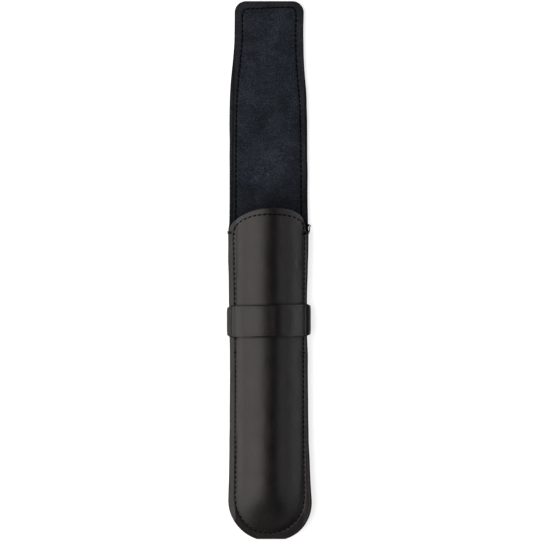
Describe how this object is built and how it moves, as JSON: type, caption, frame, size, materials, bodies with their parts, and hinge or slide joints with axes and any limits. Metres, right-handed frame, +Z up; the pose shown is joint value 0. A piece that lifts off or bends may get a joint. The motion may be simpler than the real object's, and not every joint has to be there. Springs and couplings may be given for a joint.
{
  "type": "slim leather pen case",
  "caption": "Slim lined leather case for a pen, shown open: moulded pocket, keeper strap and a long suede-lined flap that folds over the mouth.",
  "frame": {"origin": "middle of the open case in X and Y, on the surface that it lies on", "axes": "+X to the right across the case, +Y along it towards the flap's tip, +Z up out of the moulded front"},
  "size_m": [0.0428, 0.269, 0.0168],
  "materials": {
    "smooth_leather": "smooth vegetable-tanned, satin, finely grained",
    "strap_leather": "smooth, satin, creased along both edges",
    "suede_lining": "suede, matt, blue-black, short mottled nap",
    "waxed_thread": "waxed twisted thread"
  },
  "bodies": {
    "pocket": {"back_panel_leather": "smooth_leather", "back_panel_lining": "suede_lining", "back_seam_thread": "waxed_thread", "bottom_seam_thread": "waxed_thread", "corner_tack_left": "waxed_thread", "corner_tack_right": "waxed_thread", "fold_seam_thread_left": "waxed_thread", "fold_seam_thread_right": "waxed_thread", "front_panel_leather": "smooth_leather", "front_panel_lining": "suede_lining", "keeper_strap": "strap_leather", "mouth_knot_left": "waxed_thread", "mouth_knot_right": "waxed_thread", "mouth_seam_thread": "waxed_thread", "side_seam_thread_left": "waxed_thread", "side_seam_thread_right": "waxed_thread", "strap_knot_left": "waxed_thread", "strap_knot_right": "waxed_thread"},
    "flap_link_1": {"flap_link_1_back_thread_left": "waxed_thread", "flap_link_1_back_thread_right": "waxed_thread", "flap_link_1_leather": "smooth_leather", "flap_link_1_lining": "suede_lining", "flap_link_1_thread_left": "waxed_thread", "flap_link_1_thread_right": "waxed_thread"},
    "flap_link_2": {"flap_link_2_back_thread_left": "waxed_thread", "flap_link_2_back_thread_right": "waxed_thread", "flap_link_2_leather": "smooth_leather", "flap_link_2_lining": "suede_lining", "flap_link_2_thread_left": "waxed_thread", "flap_link_2_thread_right": "waxed_thread"},
    "flap_link_3": {"flap_link_3_back_thread_left": "waxed_thread", "flap_link_3_back_thread_right": "waxed_thread", "flap_link_3_leather": "smooth_leather", "flap_link_3_lining": "suede_lining", "flap_link_3_thread_left": "waxed_thread", "flap_link_3_thread_right": "waxed_thread"},
    "tongue": {"tongue_back_thread": "waxed_thread", "tongue_leather": "smooth_leather", "tongue_lining": "suede_lining", "tongue_thread": "waxed_thread"}
  },
  "joints": [
    {"name": "flap_fold_1", "type": "hinge", "parent": "pocket", "child": "flap_link_1", "pos_m": [0, 0.0324, 0.002], "axis": [1, 0, 0], "range_deg": [0, 45]},
    {"name": "flap_fold_2", "type": "hinge", "parent": "flap_link_1", "child": "flap_link_2", "pos_m": [0, 0.0389, 0.002], "axis": [1, 0, 0], "range_deg": [0, 45]},
    {"name": "flap_fold_3", "type": "hinge", "parent": "flap_link_2", "child": "flap_link_3", "pos_m": [0, 0.0454, 0.002], "axis": [1, 0, 0], "range_deg": [0, 45]},
    {"name": "flap_fold_4", "type": "hinge", "parent": "flap_link_3", "child": "tongue", "pos_m": [0, 0.0519, 0.002], "axis": [1, 0, 0], "range_deg": [0, 45]}
  ],
  "couplings": [
    {"joint": "flap_fold_2", "follows": "flap_fold_1", "ratio": 1},
    {"joint": "flap_fold_3", "follows": "flap_fold_1", "ratio": 1},
    {"joint": "flap_fold_4", "follows": "flap_fold_1", "ratio": 1}
  ]
}
